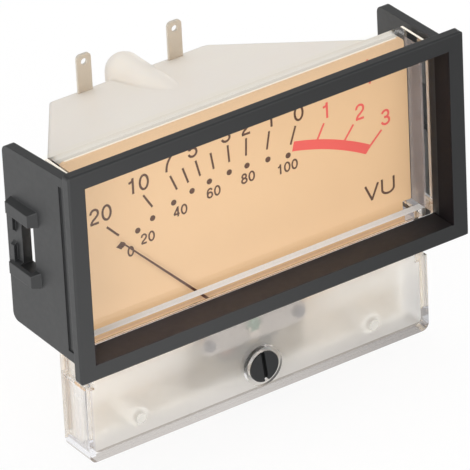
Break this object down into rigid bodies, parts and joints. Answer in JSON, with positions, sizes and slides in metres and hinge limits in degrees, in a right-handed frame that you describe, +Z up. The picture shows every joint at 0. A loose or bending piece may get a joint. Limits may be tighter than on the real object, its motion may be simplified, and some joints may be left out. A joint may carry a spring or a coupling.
{
  "type": "analog vu meter",
  "caption": "Flush moving-coil panel meter: push-on black frame, clear one-piece front, amber scale with thin pointer, slotted zero adjuster, milky rear light box, solder tags.",
  "frame": {"origin": "middle of the whole box's underside, level with the lower edge of the clear skirt", "axes": "+X to the right as seen from the front, -Y out of the dial towards the viewer, +Z up"},
  "size_m": [0.0868, 0.0512, 0.0644],
  "materials": {
    "black_moulding": "fine satin",
    "clear_moulding": "polished clear plastic",
    "milky_moulding": "translucent milky",
    "amber_sheet": "translucent amber",
    "screw_brass": "turned, slightly dull",
    "tag_plating": "tin plated",
    "black_nylon": "semi gloss",
    "spring_steel": "bright",
    "sheet_brass": "stamped",
    "frame_zinc": "dull plated",
    "soft_iron": "dull plated",
    "magnet_alloy": "ground",
    "bridge_alloy": "satin",
    "green_lacquer": "lacquered",
    "black_pin": "blackened",
    "former_foil": "rolled",
    "copper_wire": "enamelled copper",
    "pivot_steel": "polished",
    "spring_bronze": "rolled",
    "needle_black": "blackened",
    "cross_alloy": "stamped",
    "board_laminate": "phenolic laminate",
    "diode_body": "glazed",
    "resistor_body": "lacquered",
    "lead_red": "insulated wire",
    "lead_grey": "insulated wire"
  },
  "bodies": {
    "meter_body": {"bezel": "black_moulding", "front_cover": "clear_moulding", "rear_housing": "milky_moulding", "dial_plate": "amber_sheet", "dial_screws": "screw_brass", "terminal_left": "tag_plating", "terminal_right": "tag_plating", "movement_frame": "frame_zinc", "yoke_ring": "soft_iron", "core_magnet": "magnet_alloy", "core_spacers": "sheet_brass", "front_bridge": "bridge_alloy", "rear_bridge": "bridge_alloy", "bridge_screws": "screw_brass", "front_jewel_screw": "green_lacquer", "rear_jewel_screw": "green_lacquer", "pointer_stops": "black_pin", "rectifier_board": "board_laminate", "board_screws": "screw_brass", "rectifier_diodes": "diode_body", "series_resistor": "resistor_body", "tag_lead_left": "lead_red", "tag_lead_right": "lead_grey", "coil_lead_left": "lead_red", "coil_lead_right": "lead_grey"},
    "pointer_movement": {"coil_former": "former_foil", "coil_winding": "copper_wire", "pivot_bases": "sheet_brass", "pivots": "pivot_steel", "spring_collets": "screw_brass", "front_hairspring": "spring_bronze", "rear_hairspring": "spring_bronze", "pointer": "needle_black", "balance_cross": "cross_alloy", "balance_weights": "screw_brass"},
    "adjuster": {"zero_adjuster": "black_nylon", "adjuster_clip": "spring_steel"},
    "lever": {"zero_lever": "sheet_brass"}
  },
  "joints": [
    {"name": "pointer_swing", "type": "hinge", "parent": "meter_body", "child": "pointer_movement", "pos_m": [0, -0.00825, 0.0136], "axis": [0, 1, 0], "range_deg": [-1.9, 97], "stiffness_Nm_per_rad": 0.00002},
    {"name": "zero_adjuster_turn", "type": "hinge", "parent": "meter_body", "child": "adjuster", "pos_m": [0, -0.01935, 0.0068], "axis": [0, 1, 0], "range_deg": [-30, 30]},
    {"name": "zero_lever_swing", "type": "hinge", "parent": "meter_body", "child": "lever", "pos_m": [0, -0.01564, 0.0136], "axis": [0, 1, 0], "range_deg": [-8.1, 8.1]}
  ],
  "couplings": [
    {"joint": "zero_lever_swing", "follows": "zero_adjuster_turn", "ratio": -0.27}
  ]
}
